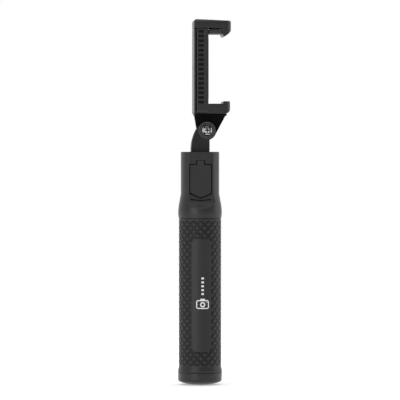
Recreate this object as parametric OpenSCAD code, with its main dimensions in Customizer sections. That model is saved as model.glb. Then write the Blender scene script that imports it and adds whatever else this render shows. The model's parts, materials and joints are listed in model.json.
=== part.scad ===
// Telescopic selfie stick: a fat rubber grip with batteries in it, a pole of five nested tubes,
// a tilting arm and a sprung phone clamp. Millimetres, +Z up, the front faces -Y.
// The origin is the middle of the end cap's bottom, and the clamp opens towards +X.

/* [Handle] */
// Radius of the grip over its raised pattern
grip_r = 16.9; // [16.7:0.05:17.1]
// Height of the grip's lower edge
grip_bottom = 9.7; // [9.4:0.1:10]
// Height of the grip's upper edge
grip_top = 133; // [130:0.5:134]
// Outer radius of the tube under the grip
casing_r = 15.2; // [15.1:0.05:15.4]
// Wall of the tube under the grip
casing_wall = 1.3; // [1.1:0.1:1.3]
// Height of the casing's upper end
casing_top = 142.5; // [142:0.1:142.8]
// Largest radius of the end cap
cap_r = 17.6; // [17.4:0.05:17.8]

/* [Neck] */
// Radius of the neck's straight part
neck_r = 15.35; // [15.2:0.05:15.4]
// Height of the neck's top
neck_top = 186.1; // [185.5:0.1:187]
// Largest radius of the band where the neck flares out
band_r = 17.5; // [17.3:0.05:17.7]
// Distance of the front flat from the handle's axis
flat_y = 11.9; // [11.8:0.05:12]

/* [Port cover] */
// Width of the cover over the port
cover_w = 16.8; // [16:0.1:17]
// Height of the cover's shoulders, where its pointed edge begins
cover_low = 153.5; // [153:0.1:154]
// Height of the cover's upper edge
cover_high = 175.8; // [175:0.1:176]
// Width of the tab that the cover hangs on
tab_w = 5.6; // [5:0.1:6]
// Play around the cover
cover_gap = 0.7; // [0.4:0.05:0.8]

/* [Pole] */
// Distance of the pole's axis behind the handle's axis
pole_y = 6.9; // [6.9:0.05:7]
// Radius of the largest moving tube
first_tube_r = 5.5; // [5.4:0.05:5.5]
// How much smaller the radius of each next tube is
tube_step = 0.65; // [0.64:0.01:0.66]
// Wall of a pole tube
tube_wall = 0.35; // [0.3:0.01:0.36]

/* [Arm and hinge] */
// Middle of the arm and of the clamp, behind the handle's axis
head_y = 3.5; // [3.4:0.1:3.6]
// Width of the arm's foot
arm_w = 14.55; // [14.2:0.05:14.8]
// Place of the tilt hinge across the handle
hinge_x = 5.4; // [5.2:0.1:5.6]
// Height of the tilt hinge
hinge_z = 203.3; // [203.1:0.1:203.6]
// Radius of the arm's ears
ear_r = 7; // [6.8:0.1:7.1]
// Thickness of one ear
ear_t = 4.5; // [4.3:0.1:4.6]
// Radius of the hinge screw
screw_r = 2; // [1.8:0.05:2.1]
// Radius of the hinge screw's head
screw_head_r = 4.1; // [3.8:0.1:4.3]

/* [Clamp] */
// Depth of the clamp from front to back
clamp_d = 32; // [30:0.5:33]
// Height of the clamp frame's underside
clamp_z = 216.6; // [216.4:0.1:217]
// Height of the parting line under the upper jaw
parting_z = 284.8; // [284:0.1:285]
// Height of the upper jaw's top
clamp_top = 291.9; // [291.5:0.1:292.5]
// How far the upper jaw opens
jaw_travel = 28; // [20:0.5:28]
// Number of notches along each side of the frame
notch_count = 16; // [8:1:16]

/* [Hidden] */
$fn = 96;

fit = 0.03;          // play between pieces that are fixed to each other
running = 0.05;      // radial play of a shaft or tube in its bore
big = 60;            // longer than anything that a cut goes through

// Handle
casing_bottom = 6;
casing_in = casing_r - casing_wall;
boss_top = 8;                        // top of the end cap's boss in the casing
cap_corner = 2.4;
dome_r = 40;
dome_angle = 17.5;
strap_bar_at = [15.8, 4.1];          // x and z of the strap's bar
strap_bar_r = 1.15;
strap_bar_half = 4.4;
strap_slot = [9.9, 3.6, 7];         // inner end, half width and height
shelf_t = 2;                         // thickness of the chassis' end plates
shelf_low = 8.2;
shelf_high = 142;
rail_x = [8.7, 12.4];
rail_y = [-1.5, 2.5];
cell_r = 7.05;
cell_y = -6.6;
cell_h = 64.4;
button_h = 0.6;                      // the cell's raised positive end
tab_t = 0.2;
cell_z = [shelf_low + shelf_t + tab_t + 0.1, 75.9];
lead_r = 0.6;
lead_at = [7.4, 0.9];
lead_top = 148;

// Neck
neck_in = 13.4;
neck_floor = 183.8;                  // underside of the neck's top wall
front_wall_y = -8.6;                 // inner face of the wall behind the port cover
front_wall_z = 144.3;
flare_z = 137;                       // height of the band's largest radius
flare_arc = 43.5;
flare_angle = 12.6;
flat_bottom = 146.3;
ramp_end = 8.1;                      // how far the ramp under the flat runs down and out
pocket_t = 2;
cover_t = 1.7;
cover_barrel_r = 0.5;
cover_pin_r = 0.22;
cover_hinge = [cover_barrel_r - flat_y, 178.9];   // y and z of the cover's hinge
cover_tip = 3.6;                     // how far the cover's point reaches below its shoulders
scoop_r = 40.4;
scoop_z = 147.1;
port_z = 170;
lens_z = 163.6;
switch_z = 157.4;
switch_travel = 2.5;
board_x = 10.2;
board_y = [-3.6, -2.4];
board_z = [144.6, 182.8];
board_front = board_y[0] - fit;      // where parts on the board's front begin
chip_back_y = -0.7;
port_shell = [7.6, 2.9, 0.3];        // the port shell's width, height and wall
port_y = [-9.9, -4.2];               // the port's mouth and the bottom of its socket
port_tongue = [5.2, 0.6];
switch_body = [8.6, 3.6, 3.1];       // the power switch's width, height and depth
switch_knob = [1.8, 1.4];
knob_y = [-9.7, -6.85];
lens_r = 1.5;
lens_length = 6;
tact_x = [5.9, 9.3];                 // the tact switch's body
tact_half = [1.6, 2.6];
plunger_r = 0.8;
plunger_x = 10.4;
button_at = [-2.6, 176];             // y and z of the shutter button's middle
stem_y = -5.1;                       // the switch under the button and the stem that presses it
button_size = [8, 14];
button_gap = 0.3;

// Pole
tube_count = 5;
tube_foot = 10.8;                    // lower end of the largest moving tube
tube_foot_step = 5.3;                // how much higher each next tube starts
bush_t = 2;
plug_t = 3;
lip_h = 3;
groove_r = 1;
groove_out = 0.6;                    // how far the groove's centre lies outside the tube
fixed_tube_r = 6.2;
fixed_tube_bottom = boss_top + 0.3;

// Arm
arm_x = 0.2;                         // middle of the arm's foot
arm_bottom = neck_top + 0.1;
arm_curve_r = 34.7;
arm_curve_z = 187.6;
web_t = 5.2;
washer_t = 0.45;
washer_gap = 0.15;
ear_in = web_t / 2 + washer_gap + washer_t;
ear_out = ear_in + ear_t;
slot_z = 193;
arm_back = 12.3;
socket_top = 192.4;
arm_pin_z = 189.3;
arm_pin_r = 0.75;
rim_r = 6.2;
rim_t = 0.4;
head_t = 2.6;
nut_af = 7;
nut_t = 3;
nut_pocket = 3.1;

// Clamp
half_d = clamp_d / 2;
back_x = -5.35;
cover_x = -4.25;                     // inner face of the clamp's back cover
frame_back = -4.15;
frame_x = 6.1;
frame_top = parting_z - 0.5;
frame_chamfer = 1.3;
channel_x = 3.9;
channel_y = half_d - 2.4;
channel_z = 219;
jaw_tip = 23.65;
jaw_z = 224.4;
lip_x = 17.3;
lip_z = 226.4;
upper_tip = 24.3;
upper_corner = 3.5;                  // corners of the upper jaw and of the frame's foot, seen from behind
foot_corner = 2.5;
pad_depth = 1.2;
upper_pad_z = 280.5;
bracket_r = 7.8;
flange_x = [-4.8, 21.3];
flange_t = 1.5;
flange_y = 11;
flange_screws = [7.5, 14.5];
flange_screw_y = 8.3;
tongue_x = [1.2, 3.6];
tongue_y = channel_y - 0.3;
tongue_z = channel_z + 0.6;
stop_z = 253;
stop_r = 2;
spring_y = 8;
spring_x = -1;
spring_low = 222.5;
spring_high = 250;
spring_r = 1.8;
spring_post_r = 0.9;
wire_r = 0.35;
ring_r = 1.4;
notch_pitch = 3.76;
notch_z = 224.6;
notch_size = [4.4, 0.8, 2.2];

black = [0.13, 0.13, 0.135];
dark = [0.05, 0.05, 0.055];
rubber = [0.17, 0.17, 0.17];
steel = [0.75, 0.76, 0.78];

// ---------------------------------------------------------------- helpers

// Points of an arc about c, from angle a0 to a1
function arc(c, r, a0, a1, n = 8) =
    [for (i = [0:n]) let (a = a0 + (a1 - a0) * i / n) [c[0] + r * cos(a), c[1] + r * sin(a)]];

// A rectangle from lo to hi with rounded corners, radii in the order -x-y, +x-y, +x+y, -x+y
function rounded(lo, hi, r) = concat(
    arc([lo[0] + r[0], lo[1] + r[0]], r[0], 180, 270, 6),
    arc([hi[0] - r[1], lo[1] + r[1]], r[1], 270, 360, 6),
    arc([hi[0] - r[2], hi[1] - r[2]], r[2], 0, 90, 6),
    arc([lo[0] + r[3], hi[1] - r[3]], r[3], 90, 180, 6));

// The point where the line from p touches the circle of radius r about the origin
function tangent(p, r, side) =
    let (a = atan2(p[1], p[0]) + side * acos(r / norm(p))) [r * cos(a), r * sin(a)];

// Extrudes a drawing of x and z along y
module along_y(y0, y1) translate([0, y1, 0]) rotate([90, 0, 0]) linear_extrude(y1 - y0) children();

// Extrudes a drawing of y and z along x
module along_x(x0, x1) translate([x0, 0, 0]) rotate([90, 0, 90]) linear_extrude(x1 - x0) children();

// A box from its lowest to its highest corner
module block(lo, hi) translate(lo) cube([for (i = [0:2]) hi[i] - lo[i]]);

// A slot with round ends, w wide and h high
module stadium(w, h) {
    square([w, h - w], center = true);
    for (s = [-1, 1]) translate([0, s * (h - w) / 2]) circle(w / 2);
}

module at_pole() translate([0, pole_y, 0]) children();
module at_head() translate([0, head_y, 0]) children();

// ---------------------------------------------------------------- handle

module grip_sleeve() {
    flare = cap_r - 0.1;
    color(rubber) rotate_extrude() polygon([
        [casing_r + fit, grip_bottom], [flare, grip_bottom], [flare, grip_bottom + 2],
        [grip_r, grip_bottom + 5], [grip_r, grip_top], [casing_r + fit, grip_top]
    ]);
}

module handle_tube() {
    color(dark) rotate_extrude() polygon([
        [casing_in, casing_bottom], [casing_r, casing_bottom],
        [casing_r, casing_top], [casing_in, casing_top]
    ]);
}

// Outline of the neck from the band up to its top edge
function neck_profile() = concat(
    [[casing_r + fit, grip_top + 0.1], [band_r - 0.4, grip_top + 0.1]],
    [for (i = [0:8]) let (a = flare_angle * i / 8)
        [band_r - flare_arc * (1 - cos(a)), flare_z + flare_arc * sin(a)]],
    arc([neck_r + 3, 153], 3, 193, 180, 2),
    arc([neck_r - 0.2, neck_top - 0.2], 0.2, 0, 90, 2),
    [[0, neck_top], [0, neck_floor], [neck_in, neck_floor], [neck_in, casing_top + 0.2],
     [casing_r + fit, casing_top + 0.2]]);

// Outline of the port cover, grown by g, with its tab up to the height tab_top
module cover_outline(g, tab_top = cover_hinge[1]) {
    w = cover_w / 2 + g;
    low = cover_low - g;
    point_x = 1.2;
    polygon([
        [-w, low], [-point_x, low - cover_tip], [point_x, low - cover_tip], [w, low],
        [w, cover_high + g], [-w, cover_high + g]
    ]);
    translate([-tab_w / 2 - g, cover_high - 1]) square([tab_w + 2 * g, tab_top - cover_high + 1]);
}

// The openings behind the port cover: its pocket, and windows for the port, the lamp and the switch
module cover_openings() {
    pocket_y = [-band_r - 1, -flat_y + pocket_t];
    along_y(pocket_y[0], pocket_y[1])
        cover_outline(cover_gap, cover_hinge[1] + cover_barrel_r + 0.12);
    along_y(pocket_y[0], front_wall_y + 1) {
        translate([0, port_z]) square([8.2, 3.6], center = true);
        translate([0, lens_z]) circle(lens_r + 0.1);
        translate([0, switch_z]) square([5, 2], center = true);
    }
    translate([-5.5, cover_hinge[0], cover_hinge[1]]) rotate([0, 90, 0])
        cylinder(r = cover_pin_r + fit, h = 11);
}

module neck_housing() {
    scoop_w = cover_w / 2 + 0.2;
    color(black) difference() {
        union() {
            rotate_extrude() polygon(neck_profile());
            // the wall behind the port cover
            intersection() {
                translate([0, 0, front_wall_z])
                    cylinder(r = neck_in + 0.5, h = neck_floor + 0.5 - front_wall_z);
                block([-big, -big, 0], [big, front_wall_y, 200]);
            }
        }
        // the front flat and the ramp that it ends in
        along_x(-big / 2, big / 2) polygon([
            [-flat_y, flat_bottom], [-flat_y, neck_top + 1], [-band_r - 2, neck_top + 1],
            [-band_r - 2, flat_bottom - ramp_end]
        ]);
        cover_openings();
        // the finger scoop below the cover's point
        along_y(-band_r - 1, -flat_y + pocket_t / 2) intersection() {
            translate([0, scoop_z + scoop_r]) circle(scoop_r);
            translate([-scoop_w, scoop_z - 1]) square([2 * scoop_w, 7]);
        }
        // the shutter button's window and the hole for the pole
        along_x(9, big) translate(button_at)
            stadium(button_size[0] + 2 * button_gap, button_size[1] + 2 * button_gap);
        at_pole() translate([0, 0, neck_floor - 1]) cylinder(r = fixed_tube_r + fit, h = 5);
    }
}

module end_cap() {
    flat_r = 3;
    color(black) difference() {
        rotate_extrude() polygon(concat(
            [[0, 0], [flat_r, 0]],
            [for (i = [1:8]) let (a = dome_angle * i / 8)
                [flat_r + dome_r * sin(a), dome_r * (1 - cos(a))]],
            arc([cap_r - cap_corner, cap_corner + 2], cap_corner, -45, 0, 5),
            [[cap_r, grip_bottom - 0.1], [casing_r + fit, grip_bottom - 0.1],
             [casing_r + fit, casing_bottom - fit], [casing_in - fit, casing_bottom - fit],
             [casing_in - fit, boss_top], [0, boss_top]]));
        // the strap's slot, from the bottom up behind the bar and out over it
        block([strap_slot[0], -strap_slot[1], -1], [big, strap_slot[1], strap_slot[2]]);
        along_bar(strap_bar_r + fit, strap_bar_half + fit);
    }
}

// A cylinder about the strap's bar
module along_bar(r, half) {
    translate([strap_bar_at[0], half, strap_bar_at[1]]) rotate([90, 0, 0]) cylinder(r = r, h = 2 * half);
}

module strap_bar() color(dark) along_bar(strap_bar_r, strap_bar_half);

module chassis() {
    color(black) difference() {
        union() {
            for (z = [shelf_low, shelf_high]) translate([0, 0, z])
                cylinder(r = neck_in - 0.2, h = shelf_t);
            for (s = [0, 1]) mirror([s, 0, 0])
                block([rail_x[0], rail_y[0], shelf_low], [rail_x[1], rail_y[1], shelf_high + shelf_t]);
        }
        at_pole() cylinder(r = fixed_tube_r + fit, h = 200);
        for (s = [-1, 1]) translate([s * lead_at[0], lead_at[1], shelf_high - 1])
            cylinder(r = lead_r + 0.2, h = shelf_t + 2);
    }
}

module battery_cell(z) {
    translate([0, cell_y, z]) cylinder(r = cell_r, h = cell_h);
    translate([0, cell_y, z + cell_h - 0.1]) cylinder(r = 2.8, h = button_h + 0.1);
}

module battery_cell_lower() color("royalblue") battery_cell(cell_z[0]);
module battery_cell_upper() color("royalblue") battery_cell(cell_z[1]);

// A welded strip from a cell's end to one lead
module battery_tab(z, side) {
    translate([0, 0, z]) linear_extrude(tab_t) polygon([
        [-side * 2, cell_y - 2], [side * 2, cell_y - 2], [side * (lead_at[0] + 0.7), lead_at[1] - 0.7],
        [side * (lead_at[0] + 0.7), lead_at[1] + 0.7], [side * (lead_at[0] - 1), lead_at[1] + 0.7],
        [-side * 2, cell_y + 2]
    ]);
}

module battery_tabs() {
    middle_z = cell_z[0] + cell_h + button_h;
    color(steel) {
        battery_tab(cell_z[0] - tab_t, -1);
        translate([-2, cell_y - 2, middle_z + 0.05]) cube([4, 4, tab_t]);
        battery_tab(cell_z[1] + cell_h + button_h, 1);
    }
}

// One lead, from its tab up through the chassis and forward to the board
module battery_lead(z, side) {
    x = side * lead_at[0];
    translate([x, lead_at[1], z]) cylinder(r = lead_r, h = lead_top - z);
    translate([x, lead_at[1], lead_top]) sphere(lead_r);
    translate([x, lead_at[1], lead_top]) rotate([90, 0, 0])
        cylinder(r = lead_r, h = lead_at[1] - board_y[1] - fit);
}

module battery_leads() {
    color("red") battery_lead(cell_z[0] + 0.05, -1);
    color("red") battery_lead(cell_z[1] + cell_h + button_h + tab_t + 0.05, 1);
}

// ---------------------------------------------------------------- electronics

module circuit_board() {
    color("darkgreen")
        block([-board_x, board_y[0], board_z[0]], [board_x, board_y[1], board_z[1]]);
}

module board_chips() {
    color(dark) {
        block([-5.5, board_y[1] + fit, 164], [5.5, chip_back_y, 178]);
        block([-8.6, board_y[0] - 1.2, 147], [-3.6, board_front, 152]);
        block([3.2, board_y[0] - 1, 147.5], [6.2, board_front, 150.5]);
    }
}

module usb_shell() {
    half = port_shell / 2;
    wall = port_shell[2];
    color(steel) difference() {
        block([-half[0], port_y[0], port_z - half[1]], [half[0], board_front, port_z + half[1]]);
        block([wall - half[0], port_y[0] - 1, port_z - half[1] + wall],
            [half[0] - wall, port_y[1], port_z + half[1] - wall]);
    }
}

module usb_tongue() {
    low = port_z + 0.1;
    color(dark) block([-port_tongue[0] / 2, port_y[0] + 0.6, low],
        [port_tongue[0] / 2, port_y[1] - fit, low + port_tongue[1]]);
}

module power_switch_body() {
    half = switch_body / 2;
    color(dark) block([-half[0], board_y[0] - switch_body[2], switch_z - half[1]],
        [half[0], board_front, switch_z + half[1]]);
}

module power_switch_knob() {
    x = -switch_travel / 2;
    half = switch_knob / 2;
    color("white")
        block([x - half[0], knob_y[0], switch_z - half[1]], [x + half[0], knob_y[1], switch_z + half[1]]);
}

module indicator_lens() {
    color("aliceblue") translate([0, board_front, lens_z]) rotate([90, 0, 0])
        cylinder(r = lens_r, h = lens_length);
}

module tact_switch() {
    y = stem_y;
    color(dark) {
        block([tact_x[0], y - tact_half[0], button_at[1] - tact_half[1]],
            [tact_x[1], board_front, button_at[1] + tact_half[1]]);
        translate([tact_x[1] - 0.1, y, button_at[1]]) rotate([0, 90, 0])
            cylinder(r = plunger_r, h = plunger_x - tact_x[1] + 0.1);
    }
}

module shutter_button() {
    y = stem_y;
    color(dark) {
        difference() {
            intersection() {
                along_x(9, 20) translate(button_at) stadium(button_size[0], button_size[1]);
                translate([0, 0, 160]) cylinder(r = neck_r + 0.05, h = 30);
            }
            translate([0, 0, 150]) cylinder(r = neck_in - 0.2, h = 50);
        }
        // the flange that keeps the cap in its window, above and below it
        intersection() {
            block([9, button_at[0] - 2.6, button_at[1] - 8.2], [14, button_at[0] + 3.7, neck_floor - 0.3]);
            difference() {
                translate([0, 0, 160]) cylinder(r = neck_in - 0.15, h = 30);
                translate([0, 0, 150]) cylinder(r = neck_in - 1.1, h = 50);
            }
        }
        translate([11, y, button_at[1]]) rotate([0, 90, 0]) cylinder(r = 1.2, h = 1.6);
    }
}

// ---------------------------------------------------------------- port cover

module port_cover() {
    color(rubber) difference() {
        union() {
            along_y(-flat_y, -flat_y + cover_t) cover_outline(0);
            translate([-tab_w / 2, cover_hinge[0], cover_hinge[1]]) rotate([0, 90, 0])
                cylinder(r = cover_barrel_r, h = tab_w);
        }
        translate([-big / 2, cover_hinge[0], cover_hinge[1]]) rotate([0, 90, 0])
            cylinder(r = cover_pin_r + running, h = big);
    }
}

module port_cover_pin() {
    color(steel) translate([-5.4, cover_hinge[0], cover_hinge[1]]) rotate([0, 90, 0])
        cylinder(r = cover_pin_r, h = 10.8);
}

// ---------------------------------------------------------------- pole

function tube_r(i) = i == 0 ? fixed_tube_r : first_tube_r - (i - 1) * tube_step;
function tube_z(i) = i == 0 ? fixed_tube_bottom : tube_foot + (i - 1) * tube_foot_step;
function tube_end(i) = i == tube_count ? socket_top - 0.1 : neck_top - (i == 0 ? 0.2 : 0);

// A grooved tube's outline, filled and grown by g. The groove lies at the back.
module grooved(r, g = 0) {
    difference() {
        circle(r + g);
        translate([0, r + groove_out]) circle(groove_r - g);
    }
}

// What is inside a grooved tube with the wall w
module grooved_inside(r, w) {
    difference() {
        circle(r - w);
        translate([0, r + groove_out]) circle(groove_r + w);
    }
}

// The hole for the pin that fixes the arm to the last tube
module arm_pin_hole() translate([-big / 2, pole_y, arm_pin_z]) rotate([0, 90, 0])
    cylinder(r = arm_pin_r + fit, h = big);

// Tube i, with its upper end swaged in to guide the next one
module pole_tube(i) {
    r = tube_r(i);
    z = tube_z(i);
    lip = i == tube_count ? 0 : lip_h;
    color(steel) at_pole() {
        translate([0, 0, z]) linear_extrude(tube_end(i) - lip - z) difference() {
            grooved(r);
            grooved_inside(r, tube_wall);
        }
        if (lip > 0) translate([0, 0, tube_end(i) - lip]) linear_extrude(lip) difference() {
            grooved(r);
            grooved(tube_r(i + 1), running);
        }
    }
}

// The plastic foot of tube i: a plug in the tube over a keyed disc that slides in the tube around it
module tube_bush(i) {
    color("whitesmoke") at_pole() {
        translate([0, 0, tube_z(i) - bush_t]) linear_extrude(bush_t)
            grooved_inside(tube_r(i - 1), tube_wall + running);
        translate([0, 0, tube_z(i) - 0.01]) linear_extrude(plug_t)
            grooved_inside(tube_r(i), tube_wall + fit);
    }
}

module fixed_tube() pole_tube(0);
module pole_tube_1() pole_tube(1);
module pole_tube_2() pole_tube(2);
module pole_tube_3() pole_tube(3);
module pole_tube_4() pole_tube(4);
module pole_tube_5() difference() {
    pole_tube(5);
    arm_pin_hole();
}
module tube_bush_1() tube_bush(1);
module tube_bush_2() tube_bush(2);
module tube_bush_3() tube_bush(3);
module tube_bush_4() tube_bush(4);
module tube_bush_5() tube_bush(5);

// ---------------------------------------------------------------- arm and hinge

// Side view of the arm: a foot whose left edge bends over towards the hinge
module arm_profile() {
    ear_left = 150;
    intersection() {
        translate([arm_x + arm_curve_r - arm_w / 2, arm_curve_z]) circle(arm_curve_r);
        polygon([
            [-arm_w, arm_bottom], [arm_x + arm_w / 2, arm_bottom],
            [arm_x + arm_w / 2, hinge_z - ear_r + 0.2], [hinge_x, hinge_z],
            [hinge_x + ear_r * cos(ear_left), hinge_z + ear_r * sin(ear_left)],
            [-arm_w / 3.6, hinge_z + 2.5], [-arm_w, hinge_z + 2.5]
        ]);
    }
    translate([hinge_x, hinge_z]) circle(ear_r);
}

// A cylinder of radius r about the hinge's axis, between two distances from the arm's middle
module about_hinge(r, y0, y1) {
    translate([hinge_x, head_y + y1, hinge_z]) rotate([90, 0, 0]) cylinder(r = r, h = y1 - y0);
}

module arm() {
    color(black) difference() {
        union() {
            at_head() along_y(-ear_out, ear_out) arm_profile();
            block([arm_x - arm_w / 2 + 0.4, head_y + ear_out - 0.1, arm_bottom],
                [arm_x + arm_w / 2, arm_back, socket_top]);
        }
        // the fork's slot, the recesses in the ears and the screw's hole
        at_head() block([-big, -ear_in, slot_z], [big, ear_in, 250]);
        about_hinge(rim_r, -ear_out - 1, -ear_out + rim_t);
        about_hinge(rim_r, ear_out - rim_t, ear_out + 1);
        about_hinge(screw_r + fit, -big, big);
        translate([hinge_x, head_y + ear_out + 1, hinge_z]) rotate([90, 0, 0])
            cylinder(r = (nut_af / 2 + 0.1) / cos(30), h = nut_pocket + rim_t + 1, $fn = 6);
        // the socket for the pole's last tube and its pin
        at_pole() cylinder(r = tube_r(tube_count) + fit, h = socket_top);
        arm_pin_hole();
    }
}

module arm_pin() {
    color(steel) translate([arm_x - arm_w / 2 + 0.6, pole_y, arm_pin_z]) rotate([0, 90, 0])
        cylinder(r = arm_pin_r, h = arm_w - 1.2);
}

module hinge_screw() {
    face = -ear_out + rim_t;
    color(steel) difference() {
        translate([hinge_x, head_y + face, hinge_z]) rotate([90, 0, 0]) rotate_extrude() polygon(concat(
            [[0, -2 * ear_out - 0.3], [screw_r, -2 * ear_out - 0.3], [screw_r, 0], [screw_head_r, 0],
             [screw_head_r, 1]],
            [for (i = [1:6]) [screw_head_r * cos(i * 15), 1 + (head_t - 1) * sin(i * 15)]]));
        // the cross recess
        translate([hinge_x, head_y + face - head_t, hinge_z]) for (a = [0, 90]) rotate([0, a, 0])
            translate([-2.1, -1, -0.45]) cube([4.2, 2.6, 0.9]);
    }
}

module hinge_nut() {
    y = ear_out - rim_t - 0.05;
    color(steel) translate([hinge_x, head_y + y, hinge_z]) rotate([90, 0, 0]) difference() {
        cylinder(r = nut_af / 2 / cos(30), h = nut_t, $fn = 6);
        translate([0, 0, -1]) cylinder(r = screw_r + fit, h = nut_t + 2);
    }
}

module friction_washers() {
    color("whitesmoke") for (y = [-ear_in, ear_in - washer_t]) difference() {
        about_hinge(rim_r, y, y + washer_t);
        about_hinge(screw_r + running, y - 1, y + washer_t + 1);
    }
}

// ---------------------------------------------------------------- clamp

module clamp_bracket() {
    left = [flange_x[0] - hinge_x, clamp_z - hinge_z];
    right = [flange_x[1] - hinge_x, clamp_z - hinge_z];
    side_r = bracket_r - 0.05;       // the sloping sides run just inside the round end
    color(dark) difference() {
        union() {
            at_head() along_y(-web_t / 2, web_t / 2) translate([hinge_x, hinge_z]) {
                circle(bracket_r);
                polygon([tangent(left, side_r, 1), tangent(right, side_r, -1), right, left]);
            }
            at_head() translate([0, 0, clamp_z - flange_t]) linear_extrude(flange_t)
                polygon(rounded([flange_x[0], -flange_y], [flange_x[1], flange_y], [2, 4, 4, 2]));
        }
        about_hinge(screw_r + running, -big, big);
        at_head() for (x = flange_screws, s = [-1, 1])
            translate([x, s * flange_screw_y, clamp_z - flange_t]) flange_screw(fit);
    }
}

// A countersunk screw, head down, grown by g
module flange_screw(g = 0) {
    head_r = 2.1 + g;
    shank_r = 1.1 + g;
    top = flange_t + 4.7;
    rotate_extrude() polygon([
        [0, -2 * g], [head_r, -2 * g], [head_r, 0.1], [shank_r, 1.1], [shank_r, top], [0, top]
    ]);
}

module bracket_screws() {
    color(steel) at_head() for (x = flange_screws, s = [-1, 1])
        translate([x, s * flange_screw_y, clamp_z - flange_t]) flange_screw();
}

// The lower jaw's side view, with its round outer edge and its lip
function lower_jaw_profile() = concat(
    [[frame_x - 1, clamp_z]],
    arc([jaw_tip - 4, clamp_z + 4], 4, -90, 0, 6),
    arc([jaw_tip - 1, lip_z - 1], 1, 0, 90, 4),
    [[lip_x + 1, lip_z], [lip_x, jaw_z], [frame_x - 1, jaw_z]]);

// The frame's and the back cover's outline seen from behind, from x0 to x1
module clamp_outline(x0, x1) {
    along_x(x0, x1) polygon(rounded([-half_d, clamp_z], [half_d, frame_top],
        [foot_corner, foot_corner, 0.2, 0.2]));
}

module clamp_frame() {
    corner = 5;
    color(black) difference() {
        union() {
            at_head() clamp_outline(frame_back, frame_x);
            intersection() {
                at_head() along_y(-half_d, half_d) polygon(lower_jaw_profile());
                at_head() translate([0, 0, clamp_z - 1]) linear_extrude(20)
                    polygon(rounded([frame_x - 2, -half_d], [jaw_tip, half_d], [0.1, corner, corner, 0.1]));
            }
        }
        // the channel that the slider runs in, open at the top and at the back
        at_head() difference() {
            block([-big, -channel_y, channel_z], [channel_x, channel_y, 300]);
            translate([frame_back, 0, stop_z]) rotate([0, 90, 0]) cylinder(r = stop_r, h = 20);
        }
        at_head() translate([frame_back - 1, 0, stop_z]) rotate([0, 90, 0])
            cylinder(r = 0.8 + fit, h = 6.2);
        // notches down both sides
        at_head() for (s = [-1, 1], i = [0:notch_count - 1])
            translate([-1.9, s * half_d - notch_size[1], notch_z + i * notch_pitch])
                cube([notch_size[0], 2 * notch_size[1], notch_size[2]]);
        // chamfers along the back edges
        at_head() for (s = [-1, 1]) translate([frame_back, s * half_d, clamp_z - 1])
            linear_extrude(80) rotate(45) square(frame_chamfer * sqrt(2), center = true);
        // seats for the two pads and holes for the bracket's screws
        at_head() block([frame_x + 0.6, -half_d + 2, jaw_z - pad_depth],
            [lip_x - 0.3, half_d - 2, jaw_z + 1]);
        at_head() block([frame_x - 0.7, -half_d + 3, jaw_z + 4], [frame_x + 1, half_d - 3, upper_pad_z - 4]);
        at_head() for (x = flange_screws, s = [-1, 1])
            translate([x, s * flange_screw_y, clamp_z - 1]) cylinder(r = 1.1 + fit, h = 6.2);
    }
}

module clamp_cover() {
    color(black) at_head() difference() {
        union() {
            intersection() {
                clamp_outline(back_x, cover_x);
                translate([0, 0, clamp_z - 1]) linear_extrude(80)
                    polygon(rounded([back_x, -half_d], [cover_x, half_d], [0.8, 0.1, 0.1, 0.8]));
            }
            for (s = [-1, 1]) translate([cover_x - 0.5, s * spring_y, spring_low]) rotate([0, 90, 0])
                cylinder(r = spring_post_r, h = 4.4);
        }
        translate([back_x - 1, 0, stop_z]) rotate([0, 90, 0]) cylinder(r = 1.1, h = 5);
        translate([back_x - 1, 0, stop_z]) rotate([0, 90, 0]) cylinder(r = 2, h = 1.8);
    }
}

module cover_screw() {
    color(steel) at_head() translate([back_x + 0.15, 0, stop_z]) rotate([0, 90, 0]) difference() {
        union() {
            cylinder(r1 = 1.5, r2 = 1.85, h = 0.62);
            cylinder(r = 0.8, h = 6);
        }
        for (a = [0, 90]) rotate([0, 0, a]) translate([-0.9, -0.2, -0.1]) cube([1.8, 0.4, 0.5]);
    }
}

// The upper jaw's side view: a sloping top with round corners, and a lip that leans inwards
function upper_jaw_profile() = concat(
    [[back_x, parting_z]],
    arc([back_x + 2.2, clamp_top - 2.2], 2.2, 180, 90, 6),
    arc([upper_tip - 1.6, clamp_top - 2.9], 1.6, 88, 0, 6),
    [[upper_tip, 282.6], [upper_tip - 2.1, 280.1], [upper_tip - 4.7, 278.3], [lip_x + 1.1, 278.1],
     [lip_x + 0.3, 279], [lip_x, upper_pad_z - 0.3], [lip_x, parting_z]]);

module clamp_slider() {
    corner = 5;
    wing_t = 1.2;
    seam = 0.35;
    color(black) at_head() difference() {
        union() {
            intersection() {
                along_y(-half_d, half_d) polygon(upper_jaw_profile());
                translate([0, 0, 270]) linear_extrude(30) polygon(
                    rounded([back_x, -half_d], [upper_tip, half_d], [1.1, corner, corner, 1.1]));
                along_x(-big, big) polygon(rounded([-half_d, 270], [half_d, clamp_top + 0.01],
                    [0.2, 0.2, upper_corner, upper_corner]));
            }
            // the tongue in the frame's channel, with a wing along each side
            block([tongue_x[0], -tongue_y, tongue_z], [tongue_x[1], tongue_y, parting_z + 1]);
            for (s = [0, 1]) mirror([0, s, 0])
                block([cover_x + 0.4, tongue_y - wing_t, tongue_z],
                    [tongue_x[0] + 1, tongue_y, parting_z + 1]);
            for (s = [-1, 1]) translate([cover_x + 0.7, s * spring_y, spring_high]) rotate([0, 90, 0])
                cylinder(r = spring_post_r, h = tongue_x[0] - cover_x);
        }
        // a groove down each side that carries on the back cover's edge
        for (s = [-1, 1]) translate([cover_x, s * half_d - seam, parting_z - 1])
            cube([seam, 2 * seam, clamp_top - 2 - parting_z]);
        // the slot around the frame's stop, which sets the jaw's travel
        along_x(0, 10) translate([0, stop_z - jaw_travel / 2])
            stadium(2 * stop_r + 0.6, jaw_travel + 2 * stop_r + 0.6);
    }
}

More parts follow.
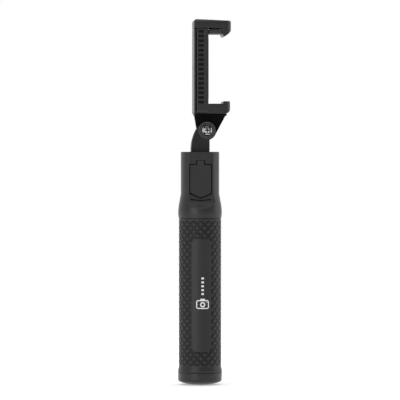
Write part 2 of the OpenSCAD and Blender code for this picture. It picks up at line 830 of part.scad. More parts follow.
module upper_pad() {
    plate_top = parting_z - 1.2;
    color(rubber) at_head() {
        block([frame_x + 0.5, -half_d + 1, upper_pad_z], [lip_x - 0.05, half_d - 1, plate_top]);
        block([frame_x + 2, -half_d + 3, plate_top - 0.1], [lip_x - 2, half_d - 3, parting_z - fit]);
    }
}

module lower_pad() {
    color(rubber) at_head() block([frame_x + 0.7, -half_d + 2.1, jaw_z - pad_depth + fit],
        [lip_x - 0.4, half_d - 2.1, jaw_z + 0.1]);
}

module back_pad() {
    color(rubber) at_head() block([frame_x - 0.7 + fit, -half_d + 3.1, jaw_z + 4.1],
        [frame_x + 0.3, half_d - 3.1, upper_pad_z - 4.1]);
}

// A close-wound tension spring between the cover's post and the slider's post
module clamp_spring(side) {
    coil_low = spring_low + ring_r - wire_r;
    coil_high = spring_high - ring_r + wire_r;
    turns = 24;
    pitch = (coil_high - coil_low) / turns;
    ridges = [for (i = [0:turns - 1], j = [0:3])
        [spring_r - [0.3, 0.08, 0, 0.08][j], coil_low + (i + j / 4) * pitch]];
    color(steel) translate([spring_x, head_y + side * spring_y, 0]) {
        rotate_extrude() polygon(concat(
            [[spring_r - 0.9, coil_low]],
            ridges,
            [[spring_r - 0.3, coil_high], [spring_r - 0.9, coil_high]]));
        for (z = [spring_low, spring_high]) translate([0, 0, z]) rotate([0, 90, 0])
            rotate_extrude() translate([ring_r, 0]) circle(wire_r, $fn = 24);
    }
}

module spring_left() clamp_spring(-1);
module spring_right() clamp_spring(1);

// ---------------------------------------------------------------- the nodes

grip_sleeve();
handle_tube();
neck_housing();
end_cap();
strap_bar();
chassis();
battery_cell_lower();
battery_cell_upper();
battery_tabs();
battery_leads();
circuit_board();
board_chips();
usb_shell();
usb_tongue();
power_switch_body();
power_switch_knob();
indicator_lens();
tact_switch();
shutter_button();
port_cover();
port_cover_pin();
fixed_tube();
pole_tube_1();
pole_tube_2();
pole_tube_3();
pole_tube_4();
pole_tube_5();
tube_bush_1();
tube_bush_2();
tube_bush_3();
tube_bush_4();
tube_bush_5();
arm();
arm_pin();
hinge_screw();
hinge_nut();
friction_washers();
clamp_bracket();
bracket_screws();
clamp_frame();
clamp_cover();
cover_screw();
clamp_slider();
upper_pad();
lower_pad();
back_pad();
spring_left();
spring_right();
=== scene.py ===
"""The looks of the selfie stick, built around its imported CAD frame. Metres, +Z up, the front faces -Y."""

import json
import math

import bmesh
import bpy
import numpy as np
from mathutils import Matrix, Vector

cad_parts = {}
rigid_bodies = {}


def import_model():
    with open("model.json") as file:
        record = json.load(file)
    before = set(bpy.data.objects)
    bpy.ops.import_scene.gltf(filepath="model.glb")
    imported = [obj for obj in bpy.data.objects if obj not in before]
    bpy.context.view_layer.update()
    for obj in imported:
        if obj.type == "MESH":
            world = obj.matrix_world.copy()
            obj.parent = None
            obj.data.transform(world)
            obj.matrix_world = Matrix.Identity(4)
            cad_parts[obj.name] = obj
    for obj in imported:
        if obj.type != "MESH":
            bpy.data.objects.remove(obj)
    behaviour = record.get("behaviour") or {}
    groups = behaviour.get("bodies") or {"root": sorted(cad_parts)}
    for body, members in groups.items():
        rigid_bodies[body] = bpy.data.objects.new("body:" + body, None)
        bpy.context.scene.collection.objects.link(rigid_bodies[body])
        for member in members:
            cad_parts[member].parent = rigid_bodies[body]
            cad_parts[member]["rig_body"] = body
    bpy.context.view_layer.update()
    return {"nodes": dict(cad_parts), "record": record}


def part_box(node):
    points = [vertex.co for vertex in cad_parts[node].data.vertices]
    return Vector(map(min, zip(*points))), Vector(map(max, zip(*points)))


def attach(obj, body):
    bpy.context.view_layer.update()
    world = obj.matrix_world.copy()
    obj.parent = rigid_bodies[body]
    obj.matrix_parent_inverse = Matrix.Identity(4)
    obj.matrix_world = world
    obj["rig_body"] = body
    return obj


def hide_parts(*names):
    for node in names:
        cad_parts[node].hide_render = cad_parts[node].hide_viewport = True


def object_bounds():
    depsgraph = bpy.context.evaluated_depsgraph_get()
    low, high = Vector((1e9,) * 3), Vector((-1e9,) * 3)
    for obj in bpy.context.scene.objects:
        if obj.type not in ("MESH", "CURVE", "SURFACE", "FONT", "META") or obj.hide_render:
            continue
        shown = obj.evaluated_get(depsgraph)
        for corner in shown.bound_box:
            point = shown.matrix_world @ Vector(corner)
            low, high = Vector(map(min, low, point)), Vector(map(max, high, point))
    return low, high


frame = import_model()

MM = 0.001
NODES = frame["nodes"]


# ---------------------------------------------------------------- materials


RANGE_SOCKETS = ("From Min", "From Max", "To Min", "To Max")
SOFT_EDGE = 0.9        # how far the shading of moulded parts rounds their sharp edges, in mm
PAINTED_SHADE_GREY = 0.0006   # how dark the painted shade in a hollow is
PAINTED_SHADE_SHEEN = 0.02    # and how little sheen the painted shade leaves, where an open face has 0.5
BAND_FRONT = -9        # bands across the neck are only in front of this y, in mm


def grey(value):
    return (value, value, value * 1.02)


class Shader:
    """A Principled material whose patterns are read in the object's own space, with sizes in millimetres."""

    def __init__(self, name, **constants):
        self.material = bpy.data.materials.new(name)
        self.material.use_nodes = True
        self.tree = self.material.node_tree
        self.surface = self.tree.nodes["Principled BSDF"]
        for socket, value in constants.items():
            self.surface.inputs[socket.replace("_", " ")].default_value = value
        self.place = self.add("ShaderNodeTexCoord").outputs["Object"]

    def add(self, kind, **settings):
        node = self.tree.nodes.new(kind)
        for key, value in settings.items():
            setattr(node, key, value)
        return node

    def link(self, output, node, socket):
        self.tree.links.new(output, node.inputs[socket])

    def stretched(self, squeeze):
        """The place, squeezed along each axis, for grain that runs in one direction."""
        node = self.add("ShaderNodeMapping")
        node.inputs["Scale"].default_value = squeeze
        self.link(self.place, node, "Vector")
        return node.outputs["Vector"]

    def noise(self, size, detail=3.0, rough=0.5, squeeze=None):
        """Noise with features about size mm across, from 0 to 1."""
        node = self.add("ShaderNodeTexNoise")
        node.inputs["Scale"].default_value = 1 / (size * MM)
        node.inputs["Detail"].default_value = detail
        node.inputs["Roughness"].default_value = rough
        self.link(self.stretched(squeeze) if squeeze else self.place, node, "Vector")
        return node.outputs["Fac"]

    def cells(self, size, squeeze):
        """How far it is to the nearest of many scattered points, about size mm apart."""
        node = self.add("ShaderNodeTexVoronoi")
        node.inputs["Scale"].default_value = 1 / (size * MM)
        self.link(self.stretched(squeeze), node, "Vector")
        return node.outputs["Distance"]

    def ramp(self, value, low, high, out_low=0.0, out_high=1.0):
        """The value carried from the range low to high onto the range out_low to out_high, and held there."""
        node = self.add("ShaderNodeMapRange")
        for socket, number in zip(RANGE_SOCKETS, (low, high, out_low, out_high)):
            node.inputs[socket].default_value = number
        self.link(value, node, "Value")
        return node.outputs["Result"]

    def math(self, operation, a, b=0.0):
        node = self.add("ShaderNodeMath", operation=operation)
        for i, value in enumerate((a, b)):
            if isinstance(value, float):
                node.inputs[i].default_value = value
            else:
                self.tree.links.new(value, node.inputs[i])
        return node.outputs["Value"]

    def axes(self):
        """The place's X, Y and Z."""
        split = self.add("ShaderNodeSeparateXYZ")
        self.link(self.place, split, "Vector")
        return split.outputs

    def within(self, low, high, soft=0.1):
        """1 inside the box from low to high, in mm, and 0 further than soft outside it."""
        axes = self.axes()
        inside = None
        for axis, a, b in zip("XYZ", low, high):
            for outer, edge in ((a - soft, a), (b + soft, b)):
                step = self.ramp(axes[axis], outer * MM, edge * MM)
                inside = step if inside is None else self.math("MULTIPLY", inside, step)
        return inside

    def under(self, middle, height, rise, half, width, soft=0.1):
        """1 in a band on the front, width mm high and half mm to each side of the middle.

        Its top is at height in the middle and climbs by rise for each mm across.
        """
        axes = self.axes()
        across = self.math("ABSOLUTE", self.math("SUBTRACT", axes["X"], middle * MM))
        level = self.math("SUBTRACT", axes["Z"], self.math("MULTIPLY", across, rise))
        above = self.ramp(level, (height - width - soft) * MM, (height - width) * MM)
        below = self.ramp(level, (height + soft) * MM, height * MM)
        beside = self.ramp(across, (half + soft) * MM, half * MM)
        front = self.ramp(axes["Y"], BAND_FRONT * MM, (BAND_FRONT - soft) * MM)
        tall = self.math("MULTIPLY", above, below)
        return self.math("MULTIPLY", tall, self.math("MULTIPLY", beside, front))

    def painted_shade(self, base, inside):
        """Painted shade: the base colour, gone almost black with no sheen where inside is 1."""
        self.link(self.ramp(inside, 0.0, 1.0, 0.5, PAINTED_SHADE_SHEEN), self.surface, "Specular IOR Level")
        return self.mix(inside, base, grey(PAINTED_SHADE_GREY))

    def mix(self, share, a, b):
        """A colour between a and b, each a colour or an output."""
        node = self.add("ShaderNodeMix", data_type="RGBA")
        self.tree.links.new(share, node.inputs["Factor"])
        for socket, value in (("A", a), ("B", b)):
            socket = next(s for s in node.inputs if s.name == socket and s.type == "RGBA")
            if isinstance(value, tuple):
                socket.default_value = (*value, 1)
            else:
                self.tree.links.new(value, socket)
        return next(s for s in node.outputs if s.type == "RGBA")

    def colour(self, output):
        self.link(output, self.surface, "Base Color")

    def roughness(self, output):
        self.link(output, self.surface, "Roughness")

    def bump(self, *layers, edge=0.0):
        """Each layer is a height output, its depth in mm and its strength. Sharp edges look edge mm round."""
        normal = None
        if edge:
            soft = self.add("ShaderNodeBevel", samples=6)
            soft.inputs["Radius"].default_value = edge * MM
            normal = soft.outputs["Normal"]
        for height, depth, strength in layers:
            node = self.add("ShaderNodeBump")
            node.inputs["Distance"].default_value = depth * MM
            node.inputs["Strength"].default_value = strength
            self.link(height, node, "Height")
            if normal is not None:
                self.link(normal, node, "Normal")
            normal = node.outputs["Normal"]
        self.link(normal, self.surface, "Normal")


def moulded(name, dark, light, rough, patch, grain, relief, strength, painted_hollow_shade=None, **constants):
    """Moulded plastic or rubber: a fine eroded grain, cloudy colour and faint handling marks.

    Where it has hollow places, it is given a function that gives 1 inside them, and shade is painted there:
    the material is dark.
    """
    s = Shader(name, **constants)
    cloud, fine = s.noise(patch, 2.0), s.noise(grain, 2.0, 0.6)
    smear = s.noise(patch * 0.4, 4.0, 0.65, (1, 1, 0.35))
    base = s.mix(s.ramp(s.math("ADD", cloud, s.math("MULTIPLY", fine, 0.5)), 0.45, 1.05), dark, light)
    # painted shade in the hollow places
    if painted_hollow_shade:
        base = s.painted_shade(base, painted_hollow_shade(s))
    s.colour(base)
    s.roughness(s.ramp(s.math("ADD", smear, s.math("MULTIPLY", fine, 0.4)), 0.4, 1.0, *rough))
    s.bump((fine, relief, strength), (s.noise(patch * 0.5, 1.0), 0.03, 0.15), edge=SOFT_EDGE)
    return s.material


def brushed(name, dark, light, rough, along=(1, 1, 0.02), grain=0.12, strength=0.25, **constants):
    """Drawn or brushed metal, with its scratches along one axis."""
    s = Shader(name, Metallic=1.0, **constants)
    lines, cloud = s.noise(grain, 3.0, 0.6, along), s.noise(6.0, 3.0)
    s.colour(s.mix(s.ramp(s.math("ADD", lines, cloud), 0.7, 1.3), dark, light))
    s.roughness(s.ramp(s.math("ADD", lines, s.math("MULTIPLY", cloud, 0.6)), 0.5, 1.1, *rough))
    s.bump((lines, 0.006, strength))
    return s.material


# Each look is a dark and a light colour, a range of roughness, the size of its clouds and of its grain
# in mm, and the grain's depth in mm and strength
BLACK_ABS = (grey(0.005), grey(0.010), (0.32, 0.44), 16.0, 0.3, 0.012, 0.3)
CLAMP_ABS = (grey(0.005), grey(0.010), (0.3, 0.42), 14.0, 0.3, 0.012, 0.3)

MATERIALS = {
    "grip_rubber": moulded("grip_rubber", grey(0.004), grey(0.009), (0.38, 0.5), 20.0, 0.3, 0.015, 0.3),
    "black_abs": moulded("black_abs", *BLACK_ABS),
    "cap_abs": moulded("cap_abs", grey(0.005), grey(0.010), (0.24, 0.34), 12.0, 0.3, 0.008, 0.25),
    "button_abs": moulded("button_abs", grey(0.005), grey(0.010), (0.28, 0.38), 9.0, 0.25, 0.008, 0.25),
    "cover_rubber": moulded("cover_rubber", grey(0.004), grey(0.009), (0.4, 0.52), 10.0, 0.25, 0.012, 0.3),
    "inner_abs": moulded("inner_abs", grey(0.014), grey(0.026), (0.4, 0.55), 12.0, 0.4, 0.02, 0.3),
    "knob_white": moulded("knob_white", (0.62, 0.61, 0.58), (0.78, 0.77, 0.74), (0.3, 0.42),
                          2.0, 0.2, 0.006, 0.2),
    "casing": moulded("casing", grey(0.012), grey(0.022), (0.4, 0.55), 18.0, 0.35, 0.012, 0.3),
    "lead": moulded("lead", (0.35, 0.012, 0.010), (0.5, 0.02, 0.015), (0.35, 0.5), 5.0, 0.3, 0.01, 0.2),
    "nylon": moulded("nylon", (0.55, 0.54, 0.50), (0.7, 0.69, 0.65), (0.42, 0.58), 6.0, 0.25, 0.01, 0.25),
    "arm_nylon": moulded("arm_nylon", grey(0.007), grey(0.012), (0.42, 0.55), 10.0, 0.25, 0.012, 0.3,
                         Specular_IOR_Level=0.3),
    # near-black with almost no sheen: painted shade for the bracket's place in the clamp's shadow
    "bracket_black": moulded("bracket_black", grey(0.0015), grey(0.003), (0.35, 0.5), 8.0, 0.25, 0.012, 0.3,
                             Specular_IOR_Level=0.06),
    "clamp_abs": moulded("clamp_abs", *CLAMP_ABS),
    "pad_rubber": moulded("pad_rubber", grey(0.012), grey(0.024), (0.6, 0.75), 8.0, 0.3, 0.03, 0.4),
    "lens": moulded("lens", (0.6, 0.7, 0.78), (0.75, 0.83, 0.88), (0.12, 0.22), 2.0, 0.2, 0.004, 0.15),
    "nickel": brushed("nickel", (0.5, 0.48, 0.43), (0.66, 0.63, 0.57), (0.22, 0.36), (0.1, 1, 1)),
    "pole_steel": brushed("pole_steel", (0.56, 0.57, 0.58), (0.74, 0.75, 0.76), (0.12, 0.26)),
    "screw_chrome": brushed("screw_chrome", (0.66, 0.66, 0.67), (0.82, 0.82, 0.83), (0.06, 0.16),
                            (1, 1, 1), 0.6, 0.1),
    "zinc_steel": brushed("zinc_steel", (0.46, 0.47, 0.48), (0.62, 0.63, 0.64), (0.25, 0.42),
                          (1, 1, 0.3), 0.4),
    "black_screw": brushed("black_screw", grey(0.02), grey(0.05), (0.3, 0.45), (1, 1, 1), 0.4),
    "spring_steel": brushed("spring_steel", (0.4, 0.4, 0.42), (0.6, 0.6, 0.62), (0.2, 0.35),
                            (1, 1, 1), 0.3),
}


COVER_POINT = 3.6      # how far the port cover's point reaches below its shoulders
SCOOP_SHADE_Z = 147.7       # top of the shade along the finger scoop's upper edge
NOTCH_X = (-2.6, 3.2)  # room that holds all the notches down the clamp's sides
NOTCH_Z = (224.2, 285.5)


def in_mm(point):
    return tuple(value / MM for value in point)


def neck_plastic():
    """The neck, with painted shade in the pocket round the port cover, under its point and along the finger
    scoop.
    """
    low, high = map(in_mm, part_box("port_cover"))
    middle, half = (low[0] + high[0]) / 2, (high[0] - low[0]) / 2
    margin = 0.9

    def painted_hollow_shade(s):
        # painted shade: in the real pocket and slit round the port cover, and as a dark line along the finger
        # scoop's upper edge, where the mesh has only an edge
        pocket = s.within((low[0] - margin, low[1] + 0.12, low[2] + COVER_POINT),
                          (high[0] + margin, -3, high[2] + margin))
        slit = s.under(middle, low[2] + 0.1, COVER_POINT / half, half + 0.8, 1.0)
        scoop_shade = s.under(middle, SCOOP_SHADE_Z, 0.1, half - 0.4, 0.8)
        return s.math("MAXIMUM", pocket, s.math("MULTIPLY", s.math("MAXIMUM", slit, scoop_shade), 0.8))

    return moulded("neck_plastic", *BLACK_ABS, painted_hollow_shade)


def notched_plastic():
    """The clamp's frame, with painted shade in the notches down its sides."""
    low, high = map(in_mm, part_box("clamp_frame"))
    skin = 0.2

    def painted_hollow_shade(s):
        # painted shade: faces in this room lying more than skin inside the side faces go dark, the notches
        # among them
        inside = s.within((NOTCH_X[0], low[1] + skin, NOTCH_Z[0]), (NOTCH_X[1], high[1] - skin, NOTCH_Z[1]))
        return s.math("MULTIPLY", inside, 0.7)

    return moulded("notched_plastic", *CLAMP_ABS, painted_hollow_shade)


def grip_texture():
    """The grip's rubber, with painted shade making it dark and dull on the ground between its diamonds."""
    s = Shader("grip_texture")
    radius = s.add("ShaderNodeVectorMath", operation="LENGTH")
    s.link(s.stretched((1, 1, 0)), radius, "Vector")
    depth = s.ramp(radius.outputs["Value"], (GRIP_R - PLAIN_DEPTH) * MM, (GRIP_R - 0.5) * MM)
    cloud, fine = s.noise(20.0, 2.0), s.noise(0.3, 2.0, 0.6)
    clouded = s.math("ADD", cloud, s.math("MULTIPLY", fine, 0.5))
    base = s.mix(s.ramp(clouded, 0.45, 1.05), grey(0.004), grey(0.009))
    # painted shade, darker the deeper the relief lies between the diamonds
    s.colour(s.painted_shade(base, s.math("MULTIPLY", depth, 0.42)))
    s.roughness(s.ramp(s.math("ADD", cloud, fine), 0.6, 1.4, 0.38, 0.5))
    s.bump((fine, 0.015, 0.3))
    return s.material


def screw_head():
    """Bright plated steel with painted shade in its cross recess."""
    s = Shader("screw_head", Metallic=1.0)
    low, high = map(in_mm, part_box("hinge_screw"))
    x, z = (low[0] + high[0]) / 2, (low[2] + high[2]) / 2
    half = 2.8
    # painted shade: the head's middle, more than 0.35 mm behind its front where the cross recess is, goes
    # almost black
    cross = s.within((x - half, low[1] + 0.35, z - half), (x + half, low[1] + 4, z + half), 0.15)
    lines, cloud = s.noise(0.5, 3.0), s.noise(2.0, 3.0)
    plating = s.mix(s.ramp(cloud, 0.3, 0.7), (0.4, 0.4, 0.41), (0.6, 0.6, 0.61))
    s.colour(s.mix(cross, plating, grey(0.01)))
    s.roughness(s.ramp(lines, 0.3, 0.7, 0.08, 0.2))
    s.bump((cloud, 0.03, 0.3))
    return s.material


def circuit_board():
    """Green solder mask over darker copper tracks, with small bright pads."""
    s = Shader("board", Coat_Weight=0.35, Coat_Roughness=0.15)
    tracks = s.add("ShaderNodeTexBrick", offset=0.37, offset_frequency=2, squash=1.7, squash_frequency=3)
    for socket, value in (("Scale", 1 / (6 * MM)), ("Mortar Size", 0.03), ("Mortar Smooth", 0.1),
                          ("Brick Width", 0.9), ("Row Height", 0.28)):
        tracks.inputs[socket].default_value = value
    s.link(s.stretched((1, 0.001, 1)), tracks, "Vector")
    cloud = s.noise(5.0)
    mask = s.mix(s.ramp(cloud, 0.3, 0.7), (0.006, 0.045, 0.018), (0.01, 0.07, 0.028))
    laid = s.mix(tracks.outputs["Fac"], mask, (0.02, 0.12, 0.05))
    pads = s.ramp(s.cells(1.6, (1, 0.001, 1)), 0.16, 0.13)
    s.colour(s.mix(pads, laid, (0.72, 0.66, 0.5)))
    s.roughness(s.ramp(cloud, 0.3, 0.7, 0.3, 0.45))
    s.bump((tracks.outputs["Fac"], 0.03, 0.4))
    return s.material


def cell_wrap():
    """Shrunk plastic sleeve with faint wrinkles around it."""
    s = Shader("cell_wrap", Coat_Weight=0.3, Coat_Roughness=0.12)
    cloud, wrinkle = s.noise(9.0), s.noise(1.2, 3.0, 0.5, (1, 1, 0.25))
    s.colour(s.mix(s.ramp(cloud, 0.3, 0.7), (0.012, 0.05, 0.19), (0.02, 0.085, 0.28)))
    s.roughness(s.ramp(wrinkle, 0.3, 0.7, 0.22, 0.36))
    s.bump((wrinkle, 0.04, 0.35))
    return s.material


def print_ink():
    """White pad print: nearly opaque, with pinholes where the rubber shows."""
    s = Shader("print_ink")
    fine = s.noise(0.22, 3.0, 0.6)
    s.colour(s.mix(s.ramp(fine, 0.3, 0.55), (0.5, 0.5, 0.5), (0.86, 0.86, 0.86)))
    s.roughness(s.ramp(fine, 0.3, 0.7, 0.4, 0.6))
    s.bump((fine, 0.01, 0.3))
    return s.material


MATERIALS["board"] = circuit_board()
MATERIALS["cell_wrap"] = cell_wrap()
INK = print_ink()


def paint(obj, slot, material=None):
    obj.data.materials.clear()
    obj.data.materials.append(material or MATERIALS[slot])


# The frame's own nodes take the finish of their slot in the record
SLOT_OF = {part["node"]: part["material_slot"] for part in frame["record"]["subparts"]}


# ---------------------------------------------------------------- pieces


def piece(name, mesh, body, slot, *replaced, material=None):
    """A finished piece that rides on a body and stands for the CAD nodes named."""
    obj = bpy.data.objects.new(name, mesh)
    bpy.context.scene.collection.objects.link(obj)
    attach(obj, body)
    if replaced:
        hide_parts(*replaced)
    paint(obj, slot, material)
    return obj


def mesh_of(name, points, faces, smooth=True):
    mesh = bpy.data.meshes.new(name)
    mesh.from_pydata([tuple(p) for p in points], [], [tuple(f) for f in faces])
    mesh.validate()
    mesh.polygons.foreach_set("use_smooth", [smooth] * len(mesh.polygons))
    return mesh


def body_of(node):
    return NODES[node]["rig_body"]


def evenly_shaded(mesh):
    """The same mesh with its shading normals weighted by face area, so that flat faces look flat."""
    holder = bpy.data.objects.new("holder", mesh)
    bpy.context.scene.collection.objects.link(holder)
    weighted = holder.modifiers.new("weighted", "WEIGHTED_NORMAL")
    weighted.keep_sharp, weighted.weight = True, 100
    done = bpy.data.meshes.new_from_object(holder.evaluated_get(bpy.context.evaluated_depsgraph_get()))
    done.name = mesh.name
    bpy.data.objects.remove(holder)
    return done


def refined(node, width, material=None):
    """A CAD node's shape with its sharp edges rounded to width mm, or less where there's no room."""
    bm = bmesh.new()
    bm.from_mesh(NODES[node].data)
    bmesh.ops.remove_doubles(bm, verts=bm.verts, dist=2e-6)
    bmesh.ops.dissolve_limit(bm, angle_limit=math.radians(0.4), verts=bm.verts, edges=bm.edges)
    limit = math.radians(30)
    sharp = [e for e in bm.edges if len(e.link_faces) == 2 and e.calc_face_angle(0) > limit]
    bmesh.ops.bevel(bm, geom=sharp, offset=width * MM, offset_type="OFFSET", segments=2, profile=0.5,
                    affect="EDGES", clamp_overlap=True, harden_normals=False)
    mesh = bpy.data.meshes.new(node + "_shape")
    bm.to_mesh(mesh)
    bm.free()
    mesh.polygons.foreach_set("use_smooth", [True] * len(mesh.polygons))
    mesh.set_sharp_from_angle(angle=math.radians(28))
    mesh = evenly_shaded(mesh)
    return piece(node + "_shape", mesh, body_of(node), SLOT_OF[node], node, material=material)


# ---------------------------------------------------------------- grip

GRIP_LO, GRIP_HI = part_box("grip_sleeve")
GRIP_BOTTOM, GRIP_TOP = GRIP_LO.z / MM, GRIP_HI.z / MM
GRIP_R = 16.9           # over the crests of the diamonds
FLARE_R = GRIP_HI.x / MM
BORE_R = 15.23
COLUMNS = 36            # diamonds round the grip
STEPS = 8               # mesh rows in half a diamond, and mesh columns in a whole one
PITCH = 5.94            # height of a diamond
DIAMOND_DEPTH = 0.55
PLAIN_DEPTH = 0.12      # the panel and the plain ends lie this far under the crests
GROOVE_DEPTH = 0.3      # round the panel
PANEL = {"half": 29.5, "z": (26.5, 117.5), "corner": 5.0}  # half its angle in degrees, and mm


def smooth_step(x, low, high):
    t = np.clip((x - low) / (high - low), 0, 1)
    return t * t * (3 - 2 * t)


def grip_relief(theta, z):
    """Depth under the crests, in mm, at the angle theta from the front and the height z."""
    a = 2 * math.pi * GRIP_R / COLUMNS
    u, v = theta * GRIP_R / a, (z - GRIP_BOTTOM) / (PITCH / 2)
    du = np.abs((u + v + 1) % 2 - 1)
    dv = np.abs((u - v + 1) % 2 - 1)
    edge = np.maximum(du, dv)
    diamond = -DIAMOND_DEPTH * smooth_step(edge, 0.3, 0.78)
    low, high = PANEL["z"]
    half = math.radians(PANEL["half"]) * GRIP_R
    x = np.abs(theta * GRIP_R) - (half - PANEL["corner"])
    y = np.abs(z - (low + high) / 2) - ((high - low) / 2 - PANEL["corner"])
    d = np.hypot(np.maximum(x, 0), np.maximum(y, 0)) + np.minimum(np.maximum(x, y), 0) - PANEL["corner"]
    inside = smooth_step(-d, 0.0, 0.5)
    groove = GROOVE_DEPTH * np.exp(-((d - 0.1) / 0.45) ** 2)
    relief = diamond * (1 - inside) - PLAIN_DEPTH * inside - groove
    patterned = smooth_step(z, GRIP_BOTTOM + 5.7, GRIP_BOTTOM + 6.2)
    patterned = patterned * (1 - smooth_step(z, GRIP_TOP - 1.7, GRIP_TOP - 1.3))
    return relief * patterned - PLAIN_DEPTH * (1 - patterned)


def grip_sleeve():
    """The grip as rings from its foot's bore, out over the flare, up the pattern and back in at the top."""
    count = COLUMNS * STEPS
    theta = np.arange(count) / count * 2 * math.pi
    theta = np.where(theta > math.pi, theta - 2 * math.pi, theta)
    rise = PITCH / 2 / STEPS
    first, last = GRIP_BOTTOM + 5.2, GRIP_TOP - 0.9
    rows = int(round((last - first) / rise))
    heights = first + np.arange(rows + 1) * rise
    foot = ((BORE_R, 0), (FLARE_R - 0.35, 0), (FLARE_R - 0.1, 0.1), (FLARE_R, 0.35), (FLARE_R, 1.8),
            (FLARE_R - 0.06, 2.3), (GRIP_R + 0.02, 4.4), (GRIP_R - 0.1, 4.9))
    top_r = GRIP_R - PLAIN_DEPTH
    brim = ((top_r, 0.4), (top_r - 0.1, 0.1), (top_r - 0.35, 0), (BORE_R, 0))
    rings = [(np.full(count, r), GRIP_BOTTOM + up) for r, up in foot]
    rings += [(GRIP_R + grip_relief(theta, z), z) for z in heights]
    rings += [(np.full(count, r), GRIP_TOP - down) for r, down in brim]
    points = np.concatenate([
        np.stack([r * np.sin(theta), -r * np.cos(theta), np.full(count, z)], 1) for r, z in rings]) * MM
    total = len(rings)
    i = np.arange(count)
    j = (i + 1) % count
    faces = []
    for k in range(total):
        n = (k + 1) % total
        faces += np.stack([k * count + i, k * count + j, n * count + j, n * count + i], 1).tolist()
    return piece("grip", mesh_of("grip", points, faces), "handle", "grip_rubber", "grip_sleeve",
                 material=grip_texture())


# ---------------------------------------------------------------- printed mark


INK_DEPTH = 0.04        # how far the print reaches into the panel
INK_HEIGHT = 0.05


def printed(name, outlines):
    """Flat shapes, each a strip of point pairs (across, height) in mm, wrapped on the grip's smooth panel."""
    points, faces = [], []
    panel = GRIP_R - PLAIN_DEPTH
    low, high = panel - INK_DEPTH, panel + INK_HEIGHT
    for strip in map(finer, outlines):
        start = len(points)
        for a, b in strip:
            for x, z in (a, b):
                for r in (low, high):
                    points.append((r * math.sin(x / GRIP_R) * MM, -r * math.cos(x / GRIP_R) * MM, z * MM))
        count = len(strip)
        closed = strip[0] == strip[-1]
        for k in range(count - 1):
            a, b = start + 4 * k, start + 4 * (k + 1)
            faces += [(a + 1, a + 3, b + 3, b + 1), (a, b, b + 2, a + 2)]
            faces += [(a, a + 1, b + 1, b), (a + 2, b + 2, b + 3, a + 3)]
        if not closed:
            a, b = start, start + 4 * (count - 1)
            faces += [(a, a + 2, a + 3, a + 1), (b, b + 1, b + 3, b + 2)]
    mesh = mesh_of(name, points, faces, smooth=False)
    bm = bmesh.new()
    bm.from_mesh(mesh)
    bmesh.ops.remove_doubles(bm, verts=bm.verts, dist=1e-7)
    bmesh.ops.recalc_face_normals(bm, faces=bm.faces)
    bm.to_mesh(mesh)
    bm.free()
    return piece(name, mesh, "handle", "grip_rubber", material=INK)


def round_pair(x, z, r0, r1, t):
    """The two points at the angle t and the radii r0 and r1 from (x, z)."""
    return tuple((x + r * math.cos(t), z + r * math.sin(t)) for r in (r0, r1))


def ring_strip(x, z, r0, r1, n=32):
    return [round_pair(x, z, r0, r1, 2 * math.pi * k / n) for k in range(n + 1)]


def bar_strip(x0, z0, x1, z1, n=8):
    return [((x0 + (x1 - x0) * k / n, z0), (x0 + (x1 - x0) * k / n, z1)) for k in range(n + 1)]


def finer(strip, step=0.6):
    """The same strip with pairs no further apart than step mm, so that it follows the round grip."""
    out = [strip[0]]
    for (a0, b0), (a1, b1) in zip(strip, strip[1:]):
        n = max(1, math.ceil(math.dist(b0, b1) / step))
        for k in range(1, n + 1):
            t = k / n
            ends = ((a0, a1), (b0, b1))
            out.append(tuple((p[0] + (q[0] - p[0]) * t, p[1] + (q[1] - p[1]) * t) for p, q in ends))
    return out


def frame_strip(x0, z0, x1, z1, r, w, n=6):
    """A rounded rectangle's outline, w wide."""
    strip = []
    corners = ((x1 - r, z1 - r, 0), (x0 + r, z1 - r, 90), (x0 + r, z0 + r, 180), (x1 - r, z0 + r, 270))
    for cx, cz, start in corners:
        for k in range(n + 1):
            strip.append(round_pair(cx, cz, r - w, r, math.radians(start + 90 * k / n)))
    return strip + strip[:1]


def printed_mark():
    """A plain camera pictogram under a column of five dashes."""
    x, z = 1.2, 65.0
    body = frame_strip(x - 5.2, z - 3.9, x + 5.2, z + 3.1, 1.6, 0.8)
    lens = ring_strip(x, z - 0.5, 1.1, 2.1)
    finder = bar_strip(x - 1.8, z + 3.1, x + 1.8, z + 4.2)
    flash = bar_strip(x + 3.0, z + 1.1, x + 3.9, z + 1.8, 2)
    shapes = [body, lens, finder, flash]
    dash, gap = 1.5, 1.6
    for k in range(5):
        low = z + 7.2 + (dash + gap) * k
        shapes.append(bar_strip(x - 1.0, low, x + 1.0, low + dash, 4))
    return printed("printed_mark", shapes)


def ear_rings():
    """Two fine rings raised on the arm's front face, round the hinge screw's head, their light grey a painted
    highlight of the edges there.
    """
    low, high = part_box("hinge_screw")
    middle = (low + high) / 2
    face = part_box("arm")[0].y
    half_width, height = 0.24, 0.3
    around, section = 72, 10
    points, faces = [], []
    for radius in (5.1, 6.4):
        start = len(points)
        for k in range(around):
            t = 2 * math.pi * k / around
            for m in range(section):
                u = 2 * math.pi * m / section
                r = (radius + half_width * math.cos(u)) * MM
                y = face + height * MM * math.sin(u)
                points.append((middle.x + r * math.cos(t), y, middle.z + r * math.sin(t)))
        for k in range(around):
            for m in range(section):
                a, b = start + k * section, start + (k + 1) % around * section
                n = (m + 1) % section
                faces.append((a + m, b + m, b + n, a + n))
    # their light grey is a painted highlight
    return piece("ear_rings", mesh_of("ear_rings", points, faces), body_of("arm"), SLOT_OF["arm"],
                 material=moulded("ring_painted_highlight", grey(0.10), grey(0.16), (0.2, 0.3), 3.0, 0.2, 0.004, 0.2))


grip_sleeve()
printed_mark()
ear_rings()

SPECIAL = {"neck_housing": neck_plastic(), "clamp_frame": notched_plastic(), "hinge_screw": screw_head()}

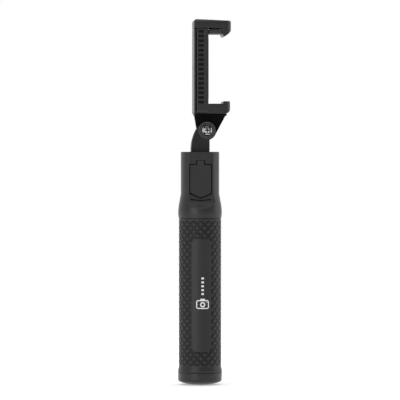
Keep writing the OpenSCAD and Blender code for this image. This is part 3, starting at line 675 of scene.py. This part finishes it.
# How far each node's edges are rounded, in mm
for node, width in (("neck_housing", 0.3), ("end_cap", 0.25), ("port_cover", 0.2), ("shutter_button", 0.2),
                    ("arm", 0.2), ("clamp_bracket", 0.25), ("clamp_frame", 0.2), ("clamp_cover", 0.15),
                    ("clamp_slider", 0.5), ("hinge_screw", 0.08), ("hinge_nut", 0.1),
                    ("upper_pad", 0.25), ("lower_pad", 0.2), ("back_pad", 0.2), ("cover_screw", 0.04)):
    refined(node, width, SPECIAL.get(node))

for node, obj in NODES.items():
    paint(obj, SLOT_OF[node])


# ---------------------------------------------------------------- stage


def direction(azimuth, elevation):
    """The way out from the object, in degrees from its front round to its right, and up."""
    a, e = math.radians(azimuth), math.radians(elevation)
    return Vector((math.sin(a) * math.cos(e), -math.cos(a) * math.cos(e), math.sin(e)))


def floor():
    """A wide sheet of pale paper that glows a little, so that it stays near white."""
    bm = bmesh.new()
    bmesh.ops.create_circle(bm, cap_ends=True, segments=64, radius=30)
    mesh = bpy.data.meshes.new("floor")
    bm.to_mesh(mesh)
    bm.free()
    obj = bpy.data.objects.new("floor", mesh)
    bpy.context.scene.collection.objects.link(obj)
    s = Shader("floor_paper", Emission_Color=(1, 1, 1, 1), Emission_Strength=0.35)
    paper = s.noise(40.0)
    s.colour(s.mix(s.ramp(paper, 0.3, 0.7), (0.84, 0.84, 0.84), (0.88, 0.88, 0.88)))
    s.roughness(s.ramp(paper, 0.3, 0.7, 0.85, 0.95))
    obj.data.materials.append(s.material)


lo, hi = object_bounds()
MIDDLE = (lo + hi) / 2


def studio():
    """A white surround, dimmer in front of the object than behind it, plus three large soft lights."""
    world = bpy.data.worlds.new("studio")
    bpy.context.scene.world = world
    world.use_nodes = True
    tree = world.node_tree
    back = tree.nodes["Background"]
    add = tree.nodes.new
    coord, split = add("ShaderNodeTexCoord"), add("ShaderNodeSeparateXYZ")
    spread, path = add("ShaderNodeMapRange"), add("ShaderNodeLightPath")
    tree.links.new(coord.outputs["Generated"], split.inputs["Vector"])
    tree.links.new(split.outputs["Y"], spread.inputs["Value"])
    for socket, value in zip(RANGE_SOCKETS, (-0.9, 0.9, 0.4, 1.05)):
        spread.inputs[socket].default_value = value
    seen = add("ShaderNodeMix")
    seen.data_type = "FLOAT"
    tree.links.new(path.outputs["Is Camera Ray"], seen.inputs["Factor"])
    tree.links.new(spread.outputs["Result"], seen.inputs["A"])
    seen.inputs["B"].default_value = 1.0
    tree.links.new(seen.outputs["Result"], back.inputs["Strength"])
    back.inputs["Color"].default_value = (1, 1, 1, 1)

    def softbox(name, azimuth, elevation, size, power):
        light = bpy.data.lights.new(name, "AREA")
        light.shape, light.size, light.size_y, light.energy = "RECTANGLE", size[0], size[1], power
        obj = bpy.data.objects.new(name, light)
        bpy.context.scene.collection.objects.link(obj)
        away = direction(azimuth, elevation)
        obj.location = MIDDLE + away * 1.6
        obj.rotation_euler = away.to_track_quat("Z", "Y").to_euler()
        obj.visible_camera = False

    softbox("key", -33, 6, (0.9, 1.8), 9.0)
    softbox("side", 98, 4, (0.5, 1.8), 3.0)
    softbox("top", 20, 84, (1.3, 1.3), 3.5)


def camera():
    """A long lens, almost level and a little to the left of the front."""
    cam = bpy.data.cameras.new("camera")
    cam.lens, cam.sensor_width = 300, 36
    obj = bpy.data.objects.new("camera", cam)
    bpy.context.scene.collection.objects.link(obj)
    bpy.context.scene.camera = obj
    width = 0.32  # of the view at the object
    distance = width * cam.lens / cam.sensor_width
    away = direction(-3.2, 0.5)
    target = Vector((0, 0, 147.6 * MM))
    obj.location = target + away * distance
    obj.rotation_mode = "QUATERNION"
    obj.rotation_quaternion = away.to_track_quat("Z", "Y")
    cam.clip_start, cam.clip_end = 0.05, 100


floor()
studio()
camera()
bpy.context.scene.view_settings.view_transform = "Standard"
